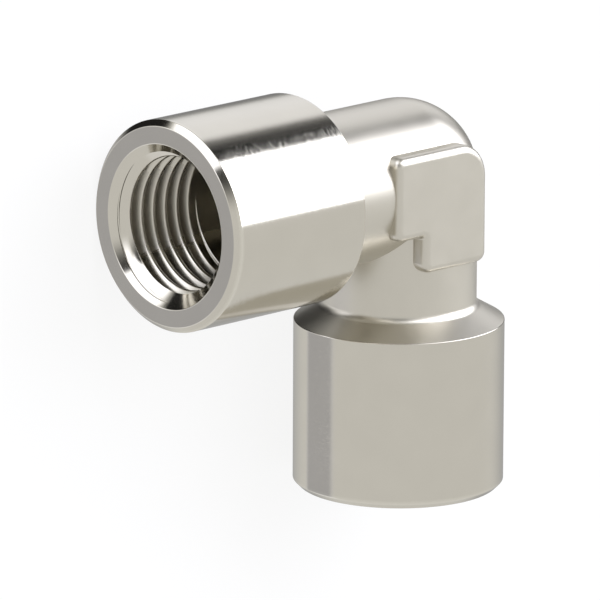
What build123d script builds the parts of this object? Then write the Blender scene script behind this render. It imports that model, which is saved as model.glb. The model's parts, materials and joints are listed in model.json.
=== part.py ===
"""Elbow fitting with two tapped sockets at right angles, forged and turned in one piece.

The fitting lies on its side, as it does when it is put down loose, so both port axes are level.
The frame's origin is the centre of the front port's mouth. The front port opens towards -Y, the side
port towards -X, and the spanner pads face up and down. All sizes are in millimetres.
"""

from build123d import *
import math
import os

# Overall form
centre_to_mouth = 27.0  # from the point where the two port axes cross to each mouth
socket_diameter = 18.0
socket_length = 14.5  # turned length of a socket, its mouth chamfer included
mouth_chamfer = 0.5  # 45 degree break round the outside of each mouth
shoulder_slope = 30.0  # degrees between the shoulder behind a socket and the mouth's plane
shoulder_fillet = 0.8  # between the shoulder and the neck
neck_diameter = 13.2  # round necks, joined by a ball of the same diameter at the bend

# Ports
tapping_diameter = 11.445  # minor diameter of a G 1/4 internal thread
tapping_depth = 11.5  # from the mouth to the end of the tapping bore's wall
countersink_diameter = 14.0
countersink_angle = 90.0  # degrees, the full angle of the cone
passage_diameter = 9.0  # drilled from each port to where the axes cross
drill_point_angle = 118.0  # degrees, the full angle left by each drill

# Spanner pads
pads_across = 14.0  # from one pad's flat to the other's
pad_arm_width = 7.3  # width of each arm of the L, centred on its port's axis
pad_reach = 6.85  # from the axes' crossing to the end of each arm
pad_rim_fillet = 0.7  # round the edge of each flat
pad_bend_radius = 3.0  # the L's outer corner, seen square on
pad_corner_radius = 0.9  # the corners at the arms' ends
pad_notch_radius = 0.25  # the L's inward corner

socket_radius = socket_diameter / 2
neck_radius = neck_diameter / 2
tapping_radius = tapping_diameter / 2
countersink_radius = countersink_diameter / 2
passage_radius = passage_diameter / 2
shoulder_height = (socket_radius - neck_radius) * math.tan(math.radians(shoulder_slope))
neck_start = socket_length + shoulder_height
countersink_depth = (countersink_radius - tapping_radius) / math.tan(math.radians(countersink_angle / 2))
point_slope = 1 / math.tan(math.radians(drill_point_angle / 2))
step_height = (tapping_radius - passage_radius) * point_slope
point_height = passage_radius * point_slope

crossing = (0, centre_to_mouth, 0)
# The mitre plane holds the bend's inner crease, and each port is the other's mirror image in it.
mitre = Plane(origin=crossing, z_dir=(1, -1, 0))

# The block whose two faces are the pads' flats: an L that runs right through the bend.
half_arm = pad_arm_width / 2
with BuildPart() as pad_block:
    with BuildSketch(Plane(origin=crossing)) as pad_outline:
        with BuildLine():
            Polyline(
                (-pad_reach, half_arm),
                (half_arm, half_arm),
                (half_arm, -pad_reach),
                (-half_arm, -pad_reach),
                (-half_arm, -half_arm),
                (-pad_reach, -half_arm),
                close=True,
            )
        make_face()
        arm_ends = pad_outline.vertices().sort_by_distance((0, 0))[-4:]
        fillet(arm_ends, pad_corner_radius)
        bend = pad_outline.vertices().sort_by_distance((half_arm, half_arm))[0]
        fillet(bend, pad_bend_radius)
        notch = pad_outline.vertices().sort_by_distance((-half_arm, -half_arm))[0]
        fillet(notch, pad_notch_radius)
    extrude(amount=pads_across / 2, both=True)
    flats = pad_block.faces().filter_by(Axis.Z)
    fillet(flats.edges(), pad_rim_fillet)

# The hollow of the front port, from its mouth to the drill point beyond the crossing.
with BuildPart() as port_hollow:
    with BuildSketch():
        with BuildLine():
            Polyline(
                (0, 0),
                (countersink_radius, 0),
                (tapping_radius, countersink_depth),
                (tapping_radius, tapping_depth),
                (passage_radius, tapping_depth + step_height),
                (passage_radius, centre_to_mouth),
                (0, centre_to_mouth + point_height),
                close=True,
            )
        make_face()
    revolve(axis=Axis.Y)

with BuildPart() as elbow_body:
    # The front arm: socket, sloping shoulder and neck, turned about the front port's axis.
    with BuildSketch() as arm_section:
        with BuildLine():
            Polyline(
                (0, 0),
                (socket_radius - mouth_chamfer, 0),
                (socket_radius, mouth_chamfer),
                (socket_radius, socket_length),
                (neck_radius, neck_start),
                (neck_radius, centre_to_mouth),
                (0, centre_to_mouth),
                close=True,
            )
        make_face()
        shoulder_root = arm_section.vertices().sort_by_distance((neck_radius, neck_start))[0]
        fillet(shoulder_root, shoulder_fillet)
    revolve(axis=Axis.Y)
    mirror(about=mitre)
    # The ball at the bend, as a quarter turn of the neck's outer half circle.
    with BuildSketch(Plane(origin=crossing, x_dir=(1, 0, 0), z_dir=(0, 1, 0))):
        with BuildLine():
            CenterArc((0, 0), neck_radius, -90, 180)
            Line((0, neck_radius), (0, -neck_radius))
        make_face()
    revolve(axis=Axis(crossing, (0, 0, 1)), revolution_arc=90)
    add(pad_block.part)
    add(port_hollow.part, mode=Mode.SUBTRACT)
    add(mirror(port_hollow.part, about=mitre, mode=Mode.PRIVATE), mode=Mode.SUBTRACT)

elbow_body.part.label = "elbow_body"
os.makedirs("parts", exist_ok=True)
export_step(elbow_body.part, "parts/elbow_body.step")
print(f"volume {elbow_body.part.volume:.1f} mm3, valid {elbow_body.part.is_valid}")
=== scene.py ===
"""Right-angle fitting of nickel-plated brass, lying on its side on a pale studio floor.

The body is made in the order of the workshop: both arms are turned, mitred and joined at the bend, the
spanner pads are added to the forging, and both ports are tapped with a real right-hand thread.
"""

import bmesh
import bpy
import json
import math
from mathutils import Matrix, Vector


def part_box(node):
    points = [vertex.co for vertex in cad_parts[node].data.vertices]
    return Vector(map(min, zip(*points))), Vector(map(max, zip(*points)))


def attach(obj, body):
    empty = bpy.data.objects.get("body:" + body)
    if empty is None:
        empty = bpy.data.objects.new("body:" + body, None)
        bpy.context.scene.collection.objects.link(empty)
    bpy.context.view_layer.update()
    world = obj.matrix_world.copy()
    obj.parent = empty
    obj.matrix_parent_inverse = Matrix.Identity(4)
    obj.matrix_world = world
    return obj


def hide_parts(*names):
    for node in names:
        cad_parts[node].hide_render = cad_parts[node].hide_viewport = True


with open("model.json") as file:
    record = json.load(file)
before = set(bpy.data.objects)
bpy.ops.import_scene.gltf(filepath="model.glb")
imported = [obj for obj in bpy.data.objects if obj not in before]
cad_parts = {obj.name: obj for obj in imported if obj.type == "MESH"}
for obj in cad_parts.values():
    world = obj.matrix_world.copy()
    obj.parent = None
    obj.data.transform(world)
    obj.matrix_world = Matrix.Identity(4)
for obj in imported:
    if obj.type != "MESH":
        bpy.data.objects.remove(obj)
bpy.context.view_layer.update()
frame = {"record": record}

mm = 0.001
mounts = {mount["name"]: mount for mount in frame["record"]["mounts"]}
box_low, box_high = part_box("elbow_body")

# Sizes that the frame gives
centre_to_mouth = -box_low.x
socket_radius = box_high.z
floor_height = box_low.z
pad_height = mounts["upper_pad"]["pos_m"][2]
tapping_radius = mounts["front_port"]["dims"]["r_mm"] * mm
tapped_length = mounts["front_port"]["dims"]["length_mm"] * mm

# Turned arms
socket_length = 14.5 * mm
mouth_chamfer = 0.5 * mm
edge_break = 0.05 * mm  # where two turned surfaces meet
shoulder_slope = math.radians(30)
shoulder_fillet = 0.8 * mm
neck_radius = 6.6 * mm
countersink_radius = 7.0 * mm
passage_radius = 4.5 * mm
drill_point_angle = math.radians(118)

# Spanner pads
pad_half_width = 3.65 * mm
pad_reach = 6.85 * mm
pad_root = 5.0 * mm  # the plates start inside the wall, between passage and neck
pad_rim = 0.7 * mm
pad_bend_radius = 3.0 * mm
pad_corner_radius = 0.9 * mm
pad_notch_radius = 0.25 * mm

# Thread, G 1/4
pitch = 1.337 * mm
flank_angle = math.radians(27.5)  # between a flank and the plane across the axis
crest_radius = 0.2 * mm
root_radius = 0.13 * mm
thread_start = -0.97 * mm  # depth of the groove's middle where the tap enters, before the mouth
thread_end = 8.9 * mm
run_out_turns = 0.8
tooth_share = 0.98  # of the pitch, so that the tap's turns don't touch each other
crest_room = 1.02  # times the crest's tangent length, so that the rounding stays clear of the tooth's edge
tooth_overlap = 0.005 * mm  # the rounded crests end this far inside the bore
tooth_back = 0.3 * mm  # and the tap's own back lies this far inside it

# The photo's view, in which the fitting stands on its front port and up is +Y
camera_lens = 577.46  # focal length in millimetres
camera_turn = math.radians(43.149)
camera_rise = math.radians(14.622)
camera_roll = math.radians(0.257)
camera_distance = 816.11 * mm
camera_aim = Vector((-7.9898, 16.6954, -3.8047)) * mm
camera_reach = 10  # metres
floor_reach = 10  # metres from the middle to each side

# How finely round shapes are divided
steps_round = 144
shoulder_fillet_steps = 8
edge_break_steps = 2
pad_bend_steps = 16
pad_corner_steps = 8
pad_notch_steps = 4
pad_rim_steps = 8
crest_steps = 5
root_steps = 6

# Plating colours: each finish varies between two shades, and a rubbed edge is lighter
plated_shade = (0.580, 0.552, 0.482, 1)
plated_light = (0.618, 0.588, 0.514, 1)
rubbed_edge = (0.68, 0.65, 0.57, 1)
tapped_shade = (0.575, 0.547, 0.478, 1)
tapped_light = (0.62, 0.59, 0.515, 1)

crossing = Vector((0, centre_to_mouth, 0))
mitre_normal = Vector((1, -1, 0)).normalized()
merge_distance = 0.0001 * mm

shoulder_height = (socket_radius - neck_radius) * math.tan(shoulder_slope)
countersink_depth = countersink_radius - tapping_radius
tapping_depth = countersink_depth + tapped_length
point_slope = 1 / math.tan(drill_point_angle / 2)


def chain(bm, points, closed=False):
    """Vertices through the points, joined by edges one after the other."""
    verts = [bm.verts.new(point) for point in points]
    for start, end in zip(verts, verts[1:]):
        bm.edges.new((start, end))
    if closed:
        bm.edges.new((verts[-1], verts[0]))
    return verts


def round_corners(bm, verts, tangent_length, segments):
    """Each corner of a chain becomes an arc that starts this far before it."""
    bmesh.ops.bevel(
        bm,
        geom=verts,
        offset=tangent_length,
        offset_type="OFFSET",
        segments=segments,
        profile=0.5,
        affect="VERTICES",
        material=-1,
    )


def new_object(name, bm):
    """An object in the scene with the shape that was made. The shape is used up."""
    mesh = bpy.data.meshes.new(name)
    bm.to_mesh(mesh)
    bm.free()
    piece = bpy.data.objects.new(name, mesh)
    bpy.context.scene.collection.objects.link(piece)
    return piece


def turned_arms():
    """Both arms with their bores, meeting in the mitre plane and in the ball at the bend."""
    bm = bmesh.new()
    neck_start = socket_length + shoulder_height
    outside = chain(
        bm,
        [
            (countersink_radius, 0, 0),
            (socket_radius - mouth_chamfer, 0, 0),
            (socket_radius, mouth_chamfer, 0),
            (socket_radius, socket_length, 0),
            (neck_radius, neck_start, 0),
            (neck_radius, centre_to_mouth, 0),
        ],
    )
    mouth, *edges, shoulder_root, neck_end = outside
    step_depth = tapping_depth + (tapping_radius - passage_radius) * point_slope
    inside = chain(
        bm,
        [
            (tapping_radius, countersink_depth, 0),
            (tapping_radius, tapping_depth, 0),
            (passage_radius, step_depth, 0),
            (passage_radius, centre_to_mouth, 0),
            (0, centre_to_mouth + passage_radius * point_slope, 0),
        ],
    )
    bore_edges = inside[:3]
    bm.edges.new((mouth, inside[0]))
    bmesh.ops.spin(
        bm,
        geom=[neck_end],
        cent=crossing,
        axis=(0, 0, 1),
        angle=math.pi / 2,
        steps=steps_round // 4,
        use_merge=False,
    )
    turn = (math.pi / 2 - shoulder_slope) / 2
    round_corners(bm, [shoulder_root], shoulder_fillet * math.tan(turn), shoulder_fillet_steps)
    round_corners(bm, [mouth, *edges, *bore_edges], edge_break, edge_break_steps)
    bmesh.ops.spin(
        bm,
        geom=bm.verts[:] + bm.edges[:],
        cent=(0, 0, 0),
        axis=(0, 1, 0),
        angle=2 * math.pi,
        steps=steps_round,
        use_merge=True,
    )
    bmesh.ops.remove_doubles(bm, verts=bm.verts[:], dist=merge_distance)
    bmesh.ops.bisect_plane(
        bm,
        geom=bm.verts[:] + bm.edges[:] + bm.faces[:],
        dist=merge_distance,
        plane_co=crossing,
        plane_no=mitre_normal,
        clear_inner=True,
    )
    copied = bmesh.ops.duplicate(bm, geom=bm.verts[:] + bm.edges[:] + bm.faces[:])
    bmesh.ops.transform(
        bm,
        matrix=Matrix.Scale(-1, 4, mitre_normal),
        space=Matrix.Translation(-crossing),
        verts=[item for item in copied["geom"] if isinstance(item, bmesh.types.BMVert)],
    )
    bmesh.ops.remove_doubles(bm, verts=bm.verts[:], dist=2 * merge_distance)
    bmesh.ops.recalc_face_normals(bm, faces=bm.faces[:])
    return new_object("elbow_fitting", bm)


def spanner_pad(side):
    """One L-shaped pad with a rolled rim. side is 1 for the upper pad and -1 for the under pad."""
    bm = bmesh.new()
    wide, reach = pad_half_width, pad_reach
    corners = [
        (-reach, wide),
        (wide, wide),
        (wide, -reach),
        (-wide, -reach),
        (-wide, -wide),
        (-reach, -wide),
    ]
    outline = chain(bm, [crossing + Vector((x, y, pad_root)) for x, y in corners], closed=True)
    far_end, bend, near_end, inner_end, notch, lower_end = outline
    round_corners(bm, [bend], pad_bend_radius, pad_bend_steps)
    round_corners(bm, [far_end, near_end, inner_end, lower_end], pad_corner_radius, pad_corner_steps)
    round_corners(bm, [notch], pad_notch_radius, pad_notch_steps)
    base = bmesh.ops.contextual_create(bm, geom=bm.edges[:])["faces"][0]
    raised = bmesh.ops.extrude_face_region(bm, geom=[base], use_keep_orig=True)["geom"]
    top_verts = [item for item in raised if isinstance(item, bmesh.types.BMVert)]
    rim = [item for item in raised if isinstance(item, bmesh.types.BMEdge)]
    bmesh.ops.translate(bm, verts=top_verts, vec=(0, 0, pad_height - pad_root))
    bmesh.ops.bevel(
        bm,
        geom=rim,
        offset=pad_rim,
        offset_type="OFFSET",
        segments=pad_rim_steps,
        profile=0.5,
        affect="EDGES",
        material=-1,
    )
    bmesh.ops.scale(bm, vec=(1, 1, side), verts=bm.verts[:])
    bmesh.ops.recalc_face_normals(bm, faces=bm.faces[:])
    return new_object("spanner_pad", bm)


def tap(in_side_port):
    """The right-hand helical groove that a tap cuts in one port, shallower over its last stretch."""
    bm = bmesh.new()
    crest_length = crest_radius * math.tan((math.pi / 2 - flank_angle) / 2)
    lip = tooth_share * pitch / 2
    half_width = lip - crest_room * crest_length
    back_radius = tapping_radius - tooth_back
    lip_radius = tapping_radius - tooth_overlap
    apex = lip_radius + half_width / math.tan(flank_angle)
    outline = chain(
        bm,
        [
            (back_radius, thread_start - lip, 0),
            (lip_radius, thread_start - lip, 0),
            (lip_radius, thread_start - half_width, 0),
            (apex, thread_start, 0),
            (lip_radius, thread_start + half_width, 0),
            (lip_radius, thread_start + lip, 0),
            (back_radius, thread_start + lip, 0),
        ],
        closed=True,
    )
    first_crest, root, second_crest = outline[2:5]
    round_corners(bm, [root], root_radius / math.tan(flank_angle), root_steps)
    round_corners(bm, [first_crest, second_crest], crest_length, crest_steps)
    steps = round((thread_end - thread_start) / pitch * steps_round)
    turns = steps / steps_round
    bmesh.ops.spin(
        bm,
        geom=bm.verts[:] + bm.edges[:],
        cent=(0, 0, 0),
        axis=(0, 1, 0),
        angle=turns * 2 * math.pi,
        dvec=(0, pitch / steps_round, 0),
        steps=steps,
        use_merge=False,
    )
    for vert in bm.verts:
        turn = math.atan2(-vert.co.z, vert.co.x) / (2 * math.pi)
        turn += round((vert.co.y - thread_start) / pitch - turn)
        lift = max(0, 1 - (turns - turn) / run_out_turns) * (apex - lip_radius)
        inward = 1 - lift / math.hypot(vert.co.x, vert.co.z)
        vert.co.x *= inward
        vert.co.z *= inward
    bmesh.ops.holes_fill(bm, edges=bm.edges[:], sides=0)
    if in_side_port:
        to_side_port = Matrix.Rotation(-math.pi / 2, 3, "Z")
        bmesh.ops.rotate(bm, cent=crossing, matrix=to_side_port, verts=bm.verts[:])
    bmesh.ops.recalc_face_normals(bm, faces=bm.faces[:])
    return new_object("tap", bm)


def bake_modifiers(body):
    """The body's mesh becomes what its modifiers make of it."""
    finished = body.evaluated_get(bpy.context.evaluated_depsgraph_get())
    mesh = bpy.data.meshes.new_from_object(finished)
    body.modifiers.clear()
    body.data = mesh


def apply_boolean(body, tool, operation):
    """The body joined with the tool, or cut by it. The tool is used up."""
    modifier = body.modifiers.new(operation, "BOOLEAN")
    modifier.operation = operation
    modifier.solver = "EXACT"
    modifier.object = tool
    bake_modifiers(body)
    bpy.data.objects.remove(tool)


def weld(body):
    """Points that the cuts leave on top of each other become one, so that the mesh is closed."""
    bm = bmesh.new()
    bm.from_mesh(body.data)
    bmesh.ops.remove_doubles(bm, verts=bm.verts[:], dist=merge_distance)
    bm.to_mesh(body.data)
    bm.free()


def add_node(tree, kind, inputs=None, **properties):
    """A shader node with its properties, and its inputs set to values or linked to other nodes."""
    node = tree.nodes.new(kind)
    for name, value in properties.items():
        setattr(node, name, value)
    for name, value in (inputs or {}).items():
        if isinstance(value, bpy.types.NodeSocket):
            tree.links.new(value, node.inputs[name])
        else:
            node.inputs[name].default_value = value
    return node


def calculate(tree, operation, *values, clamp=False):
    """The result of one math node on numbers or other nodes' outputs."""
    inputs = dict(enumerate(values))
    return add_node(tree, "ShaderNodeMath", inputs, operation=operation, use_clamp=clamp).outputs[0]


def between(tree, share, low, high):
    """low where the share is 0 and high where it is 1."""
    return calculate(tree, "MULTIPLY_ADD", share, high - low, low)


def blend_values(tree, factor, first, second):
    """first where the factor is 0 and second where it is 1."""
    return add_node(tree, "ShaderNodeMix", {0: factor, 2: first, 3: second}, data_type="FLOAT").outputs[0]


def tinted(tree, factor, first, second):
    """A colour between two others."""
    return add_node(tree, "ShaderNodeMix", {0: factor, 6: first, 7: second}, data_type="RGBA").outputs[2]


def new_group(name, inputs, outputs):
    """An empty node group with its sockets, its input node and its output node."""
    group = bpy.data.node_groups.new(name, "ShaderNodeTree")
    for socket, kind in inputs.items():
        group.interface.new_socket(name=socket, in_out="INPUT", socket_type=f"NodeSocket{kind}")
    for socket, kind in outputs.items():
        group.interface.new_socket(name=socket, in_out="OUTPUT", socket_type=f"NodeSocket{kind}")
    return group, group.nodes.new("NodeGroupInput").outputs, group.nodes.new("NodeGroupOutput").inputs


def place_group(tree, group, inputs):
    """The outputs of a group that is placed with its own inputs."""
    return add_node(tree, "ShaderNodeGroup", inputs, node_tree=group).outputs


def arm_position_group():
    """Depth behind the mouth, radius, and direction round the axis, of the arm that a point belongs to."""
    group, given, result = new_group(
        "arm_position",
        {"Position": "Vector"},
        {"Depth": "Float", "Radius": "Float", "Around": "Vector"},
    )
    place = add_node(group, "ShaderNodeSeparateXYZ", {"Vector": given["Position"]}).outputs
    back = calculate(group, "SUBTRACT", place["Y"], centre_to_mouth)
    on_side_arm = calculate(group, "GREATER_THAN", calculate(group, "SUBTRACT", back, place["X"]), 0)
    side_depth = calculate(group, "ADD", place["X"], centre_to_mouth)
    depth = blend_values(group, on_side_arm, place["Y"], side_depth)
    across = blend_values(group, on_side_arm, place["X"], back)
    flat = add_node(group, "ShaderNodeCombineXYZ", {"X": across, "Y": place["Z"]}).outputs[0]
    radius = add_node(group, "ShaderNodeVectorMath", {0: flat}, operation="LENGTH").outputs["Value"]
    around = add_node(group, "ShaderNodeVectorMath", {0: flat}, operation="NORMALIZE").outputs[0]
    for name, value in (("Depth", depth), ("Radius", radius), ("Around", around)):
        group.links.new(value, result[name])
    return group


def turning_marks_group():
    """Fine lines that run round an arm, as the lathe tool leaves them.

    Spacing is about the distance from line to line on the round. Breaks is about how many times a line
    changes in one radian.
    """
    group, given, result = new_group(
        "turning_marks",
        {"Depth": "Float", "Radius": "Float", "Around": "Vector", "Spacing": "Float", "Breaks": "Float"},
        {"Marks": "Float"},
    )
    facing_feed = 1.7  # lines on a flat end lie closer than on the round by this factor
    along = calculate(group, "MULTIPLY_ADD", given["Radius"], facing_feed, given["Depth"])
    line = calculate(group, "DIVIDE", along, given["Spacing"])
    lines = add_node(group, "ShaderNodeCombineXYZ", {"Z": line}).outputs[0]
    scaling = {0: given["Around"], "Scale": given["Breaks"]}
    arc = add_node(group, "ShaderNodeVectorMath", scaling, operation="SCALE").outputs[0]
    place = add_node(group, "ShaderNodeVectorMath", {0: arc, 1: lines}, operation="ADD").outputs[0]
    marks = add_node(group, "ShaderNodeTexNoise", {"Vector": place, "Scale": 1, "Detail": 0.5})
    group.links.new(marks.outputs[0], result["Marks"])
    return group


def grain_group():
    """The skin of the plating: a fine grain and broad, faint clouds."""
    group, given, result = new_group(
        "plating_grain",
        {"Position": "Vector", "Grain Size": "Float", "Cloud Size": "Float"},
        {"Grain": "Float", "Clouds": "Float"},
    )
    for name, size in (("Grain", "Grain Size"), ("Clouds", "Cloud Size")):
        scale = calculate(group, "DIVIDE", 1, given[size])
        pattern = {"Vector": given["Position"], "Scale": scale, "Detail": 3}
        noise = add_node(group, "ShaderNodeTexNoise", pattern)
        group.links.new(noise.outputs[0], result[name])
    return group


def edge_wear_group():
    """Rubbed plating along a turned edge, given by its depth and radius. Grain breaks its border."""
    group, given, result = new_group(
        "edge_wear",
        {name: "Float" for name in ("Depth", "Radius", "Edge Depth", "Edge Radius", "Width", "Grain")},
        {"Wear": "Float"},
    )
    off_depth = calculate(group, "SUBTRACT", given["Depth"], given["Edge Depth"])
    off_radius = calculate(group, "SUBTRACT", given["Radius"], given["Edge Radius"])
    radius_square = calculate(group, "MULTIPLY", off_radius, off_radius)
    square = calculate(group, "MULTIPLY_ADD", off_depth, off_depth, radius_square)
    reach = calculate(group, "DIVIDE", calculate(group, "SQRT", square), given["Width"])
    even_wear = 0.5  # the part of the wear that the grain leaves alone
    worn = calculate(group, "ADD", given["Grain"], even_wear)
    near = calculate(group, "SUBTRACT", worn, reach, clamp=True)
    group.links.new(near, result["Wear"])
    return group


def new_material(name):
    """A material with its shader, and the point's Object coordinates."""
    material = bpy.data.materials.new(name)
    material.use_nodes = True
    tree = material.node_tree
    shader = tree.nodes["Principled BSDF"]
    shader.inputs["Metallic"].default_value = 1
    position = tree.nodes.new("ShaderNodeTexCoord").outputs["Object"]
    return material, tree, shader, position


def finish_surface(tree, shader, color, roughness, height, relief):
    """The shader gets its colour, its roughness and a bump whose height is relief at most."""
    bump = add_node(tree, "ShaderNodeBump", {"Height": height, "Distance": relief, "Strength": 1.0})
    tree.links.new(color, shader.inputs["Base Color"])
    tree.links.new(roughness, shader.inputs["Roughness"])
    tree.links.new(bump.outputs[0], shader.inputs["Normal"])


def turned_nickel(groups):
    """Plating on turned faces, which keeps the lathe's fine lines."""
    material, tree, shader, position = new_material("turned_nickel")
    arm = place_group(tree, groups["arm_position"], {"Position": position})
    place = {name: arm[name] for name in ("Depth", "Radius", "Around")}
    skin = {"Position": position, "Grain Size": 0.1 * mm, "Cloud Size": 3 * mm}
    grain = place_group(tree, groups["grain"], skin)
    lathe = {**place, "Spacing": 0.05 * mm, "Breaks": 18.0}
    fine = place_group(tree, groups["turning_marks"], lathe)["Marks"]
    wear = place_group(
        tree,
        groups["edge_wear"],
        {
            "Depth": arm["Depth"],
            "Radius": arm["Radius"],
            "Edge Depth": mouth_chamfer,
            "Edge Radius": socket_radius,
            "Width": 0.3 * mm,
            "Grain": grain["Grain"],
        },
    )["Wear"]
    plated = tinted(tree, grain["Clouds"], plated_shade, plated_light)
    color = tinted(tree, wear, plated, rubbed_edge)
    roughness = between(tree, fine, low=0.07, high=0.13)
    fade_in = 2 * mm  # the mouth's flat ring is smooth, and the lines grow over this depth behind it
    behind_mouth = calculate(tree, "MULTIPLY", arm["Depth"], 1 / fade_in, clamp=True)
    outside_port = calculate(tree, "GREATER_THAN", arm["Radius"], countersink_radius)
    height = calculate(tree, "MULTIPLY", fine, calculate(tree, "MULTIPLY", behind_mouth, outside_port))
    finish_surface(tree, shader, color, roughness, height, relief=0.0034 * mm)
    return material


def forged_nickel(groups):
    """Plating on the forged skin, smoother in shape and more satin in gloss."""
    material, tree, shader, position = new_material("forged_nickel")
    skin = {"Position": position, "Grain Size": 0.12 * mm, "Cloud Size": 2.2 * mm}
    grain = place_group(tree, groups["grain"], skin)
    color = tinted(tree, grain["Clouds"], plated_shade, plated_light)
    roughness = between(tree, grain["Clouds"], low=0.29, high=0.37)
    finish_surface(tree, shader, color, roughness, grain["Grain"], relief=0.0008 * mm)
    return material


def tapped_nickel(groups):
    """Plating inside the ports, on the thread and in the drilled passage."""
    material, tree, shader, position = new_material("tapped_nickel")
    arm = place_group(tree, groups["arm_position"], {"Position": position})
    place = {name: arm[name] for name in ("Depth", "Radius", "Around")}
    cutting = {**place, "Spacing": 0.1 * mm, "Breaks": 3.0}
    marks = place_group(tree, groups["turning_marks"], cutting)["Marks"]
    color = tinted(tree, marks, tapped_shade, tapped_light)
    roughness = between(tree, marks, low=0.15, high=0.25)
    finish_surface(tree, shader, color, roughness, marks, relief=0.0002 * mm)
    return material


def dress(body, turned, forged, tapped):
    """Each face gets the finish of the work that made it."""
    for material in (turned, forged, tapped):
        body.data.materials.append(material)
    turned_face, forged_face, tapped_face = range(3)
    slack = 0.01 * mm
    for polygon in body.data.polygons:
        x, y, z = polygon.center
        on_side_arm = y - centre_to_mouth > x
        depth = x + centre_to_mouth if on_side_arm else y
        radius = math.hypot(y - centre_to_mouth if on_side_arm else x, z)
        coned = depth < countersink_depth + slack and radius > countersink_radius - depth - slack
        on_ball = depth > centre_to_mouth and (polygon.center - crossing).length > pad_root
        if radius < neck_radius - slack and depth > slack and not coned and not on_ball:
            inside = abs(z) < pad_root or radius < passage_radius + slack
            polygon.material_index = tapped_face if inside else forged_face
        else:
            on_socket = depth < socket_length + slack
            polygon.material_index = turned_face if on_socket else forged_face
        polygon.use_smooth = True


def keep_broad_faces_true(body):
    """Shading bends over the small edge breaks alone, and the turned faces reflect as true cylinders.

    The weighting passes over faces below about a square millimetre, so it works on the mesh enlarged.
    """
    enlargement = 1024
    body.data.set_sharp_from_angle(angle=math.radians(40))
    body.data.transform(Matrix.Scale(enlargement, 4))
    weighting = body.modifiers.new("broad_faces_first", "WEIGHTED_NORMAL")
    weighting.mode = "FACE_AREA"
    weighting.weight = 50
    weighting.keep_sharp = True
    bake_modifiers(body)
    body.data.transform(Matrix.Scale(1 / enlargement, 4))


def studio_floor():
    """A pale floor that shows white to the camera and keeps a faint shadow."""
    bm = bmesh.new()
    level = Matrix.Translation((0, 0, floor_height))
    bmesh.ops.create_grid(bm, x_segments=1, y_segments=1, size=floor_reach, matrix=level)
    floor = new_object("studio_floor", bm)
    material = bpy.data.materials.new("pale_floor")
    material.use_nodes = True
    tree = material.node_tree
    tree.nodes.clear()
    light_path = tree.nodes.new("ShaderNodeLightPath").outputs
    seen = calculate(tree, "ADD", light_path["Is Camera Ray"], light_path["Is Glossy Ray"])
    seen = calculate(tree, "ADD", seen, light_path["Is Transmission Ray"], clamp=True)
    white_share = 0.85  # the rest is paint, which takes the fitting's shadow
    share = calculate(tree, "MULTIPLY", seen, white_share)
    paint = add_node(tree, "ShaderNodeBsdfDiffuse", {"Color": (0.9, 0.9, 0.9, 1)})
    white = add_node(tree, "ShaderNodeEmission", {"Color": (1, 1, 1, 1), "Strength": 1})
    mixed = add_node(tree, "ShaderNodeMixShader", {0: share, 1: paint.outputs[0], 2: white.outputs[0]})
    output = tree.nodes.new("ShaderNodeOutputMaterial")
    tree.links.new(mixed.outputs[0], output.inputs["Surface"])
    floor.data.materials.append(material)
    floor.visible_glossy = False  # the metal shows the lower half of the room in its place


def soft_step(tree, value, edge, softness):
    """0 well below the edge, 1 well above it and smooth between."""
    span = {"Value": value, "From Min": edge - softness, "From Max": edge + softness}
    return add_node(tree, "ShaderNodeMapRange", span, interpolation_type="SMOOTHSTEP").outputs[0]


def room_patch(tree, around, above, left, right, low, high, soft, lean=(0, 0)):
    """1 inside a patch of the room's wall and 0 outside. All sizes are degrees.

    left and right are turns about the front port's axis, low and high are heights behind its mouth.
    soft holds the softness of the left, right, low and high edges. lean is how many degrees the left and
    the right edge move for each degree of height.
    """
    middle = (left + right) / 2
    off_middle = calculate(tree, "WRAP", calculate(tree, "SUBTRACT", around, middle), 180, -180)
    from_left = calculate(tree, "MULTIPLY_ADD", above, -lean[0], off_middle)
    from_right = calculate(tree, "MULTIPLY_ADD", above, -lean[1], off_middle)
    inside = soft_step(tree, from_left, left - middle, soft[0])
    beyond_right = soft_step(tree, from_right, right - middle, soft[1])
    inside = calculate(tree, "MULTIPLY", inside, calculate(tree, "SUBTRACT", 1, beyond_right))
    inside = calculate(tree, "MULTIPLY", inside, soft_step(tree, above, low, soft[2]))
    beyond_high = soft_step(tree, above, high, soft[3])
    return calculate(tree, "MULTIPLY", inside, calculate(tree, "SUBTRACT", 1, beyond_high))


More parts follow.
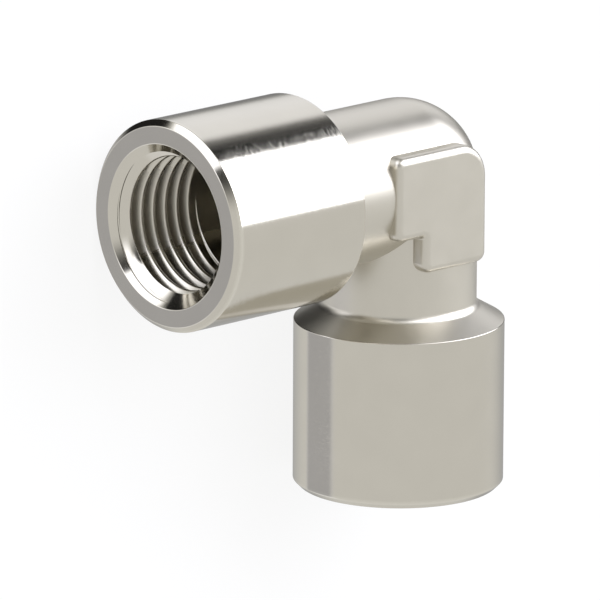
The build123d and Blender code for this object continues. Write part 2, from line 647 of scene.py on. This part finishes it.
def studio_room():
    """A pale room with one large bright light, softer cool lights, a grey card and dark gaps.

    It has no lamps: the room is painted by direction, and a later patch covers an earlier one.
    """
    world = bpy.data.worlds.new("pale_room")
    world.use_nodes = True
    tree = world.node_tree
    direction = tree.nodes.new("ShaderNodeTexCoord").outputs["Generated"]
    toward = add_node(tree, "ShaderNodeSeparateXYZ", {"Vector": direction}).outputs
    around = calculate(tree, "DEGREES", calculate(tree, "ARCTAN2", toward["Z"], toward["X"]))
    above = calculate(tree, "DEGREES", calculate(tree, "ARCSINE", toward["Y"]))
    bright = (3.6, 3.66, 4.0, 1)
    cool_white = (2.2, 2.24, 2.46, 1)
    pale = (1.16, 1.17, 1.24, 1)
    wall = (0.84, 0.84, 0.84, 1)
    grey = (0.555, 0.56, 0.60, 1)
    shaded = (0.45, 0.45, 0.45, 1)
    dim = (0.18, 0.18, 0.18, 1)
    dark = (0.08, 0.08, 0.08, 1)
    black = (0.02, 0.02, 0.02, 1)
    patches = [
        (pale, dict(left=-53, right=8, low=17, high=52, soft=(3, 3, 14, 6))),
        (shaded, dict(left=-78, right=-10, low=-44, high=8, soft=(28, 28, 12, 8))),
        (dim, dict(left=-50, right=-16, low=-10, high=10, soft=(4, 6, 6, 8))),
        (shaded, dict(left=-105, right=17, low=52, high=100, soft=(10, 5, 6, 6))),
        (shaded, dict(left=10, right=120, low=62, high=100, soft=(5, 10, 8, 6))),
        (dim, dict(left=-17, right=-3, low=-8, high=48, soft=(5, 4, 8, 3))),
        (bright, dict(left=-1, right=49, low=1.5, high=60, soft=(5, 4, 1, 6), lean=(0, 1.2))),
        (black, dict(left=-14, right=16.5, low=44.5, high=66, soft=(15, 0.8, 2, 6))),
        (black, dict(left=-114, right=-57, low=3, high=44, soft=(8, 4, 8, 3))),
        (cool_white, dict(left=170, right=230, low=12, high=40, soft=(8, 6, 8, 8))),
        (cool_white, dict(left=158, right=205, low=28, high=72, soft=(4, 5, 4, 6))),
        (cool_white, dict(left=180, right=246, low=46, high=70, soft=(5, 5, 3, 6))),
        (dark, dict(left=112, right=163, low=24, high=45, soft=(6, 4, 14, 3))),
        (pale, dict(left=-149, right=-107, low=-48, high=4, soft=(5, 4, 12, 5))),
        (grey, dict(left=-149, right=-107, low=-19.5, high=-10, soft=(5, 4, 2, 2))),
    ]
    light = wall
    for color, place in patches:
        light = tinted(tree, room_patch(tree, around, above, **place), light, color)
    tree.links.new(light, tree.nodes["Background"].inputs["Color"])
    bpy.context.scene.world = world


def photo_camera():
    """A long lens at the photo's viewing angle."""
    data = bpy.data.cameras.new("photo_camera")
    data.lens = camera_lens
    data.clip_end = camera_reach
    camera = bpy.data.objects.new("photo_camera", data)
    bpy.context.scene.collection.objects.link(camera)
    turned = Matrix.Rotation(-camera_turn, 4, "Y") @ Matrix.Rotation(-camera_rise, 4, "X")
    turned = turned @ Matrix.Rotation(camera_roll, 4, "Z")
    back = Matrix.Translation((0, 0, camera_distance))
    camera.matrix_world = Matrix.Translation(camera_aim) @ turned @ back
    bpy.context.scene.camera = camera


body = turned_arms()
for side in (1, -1):
    apply_boolean(body, spanner_pad(side), "UNION")
for in_side_port in (False, True):
    apply_boolean(body, tap(in_side_port), "DIFFERENCE")
weld(body)
groups = {
    "arm_position": arm_position_group(),
    "turning_marks": turning_marks_group(),
    "grain": grain_group(),
    "edge_wear": edge_wear_group(),
}
dress(body, turned_nickel(groups), forged_nickel(groups), tapped_nickel(groups))
keep_broad_faces_true(body)
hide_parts("elbow_body")
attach(body, "root")

studio_floor()
studio_room()
photo_camera()
bpy.context.scene.view_settings.view_transform = "Standard"
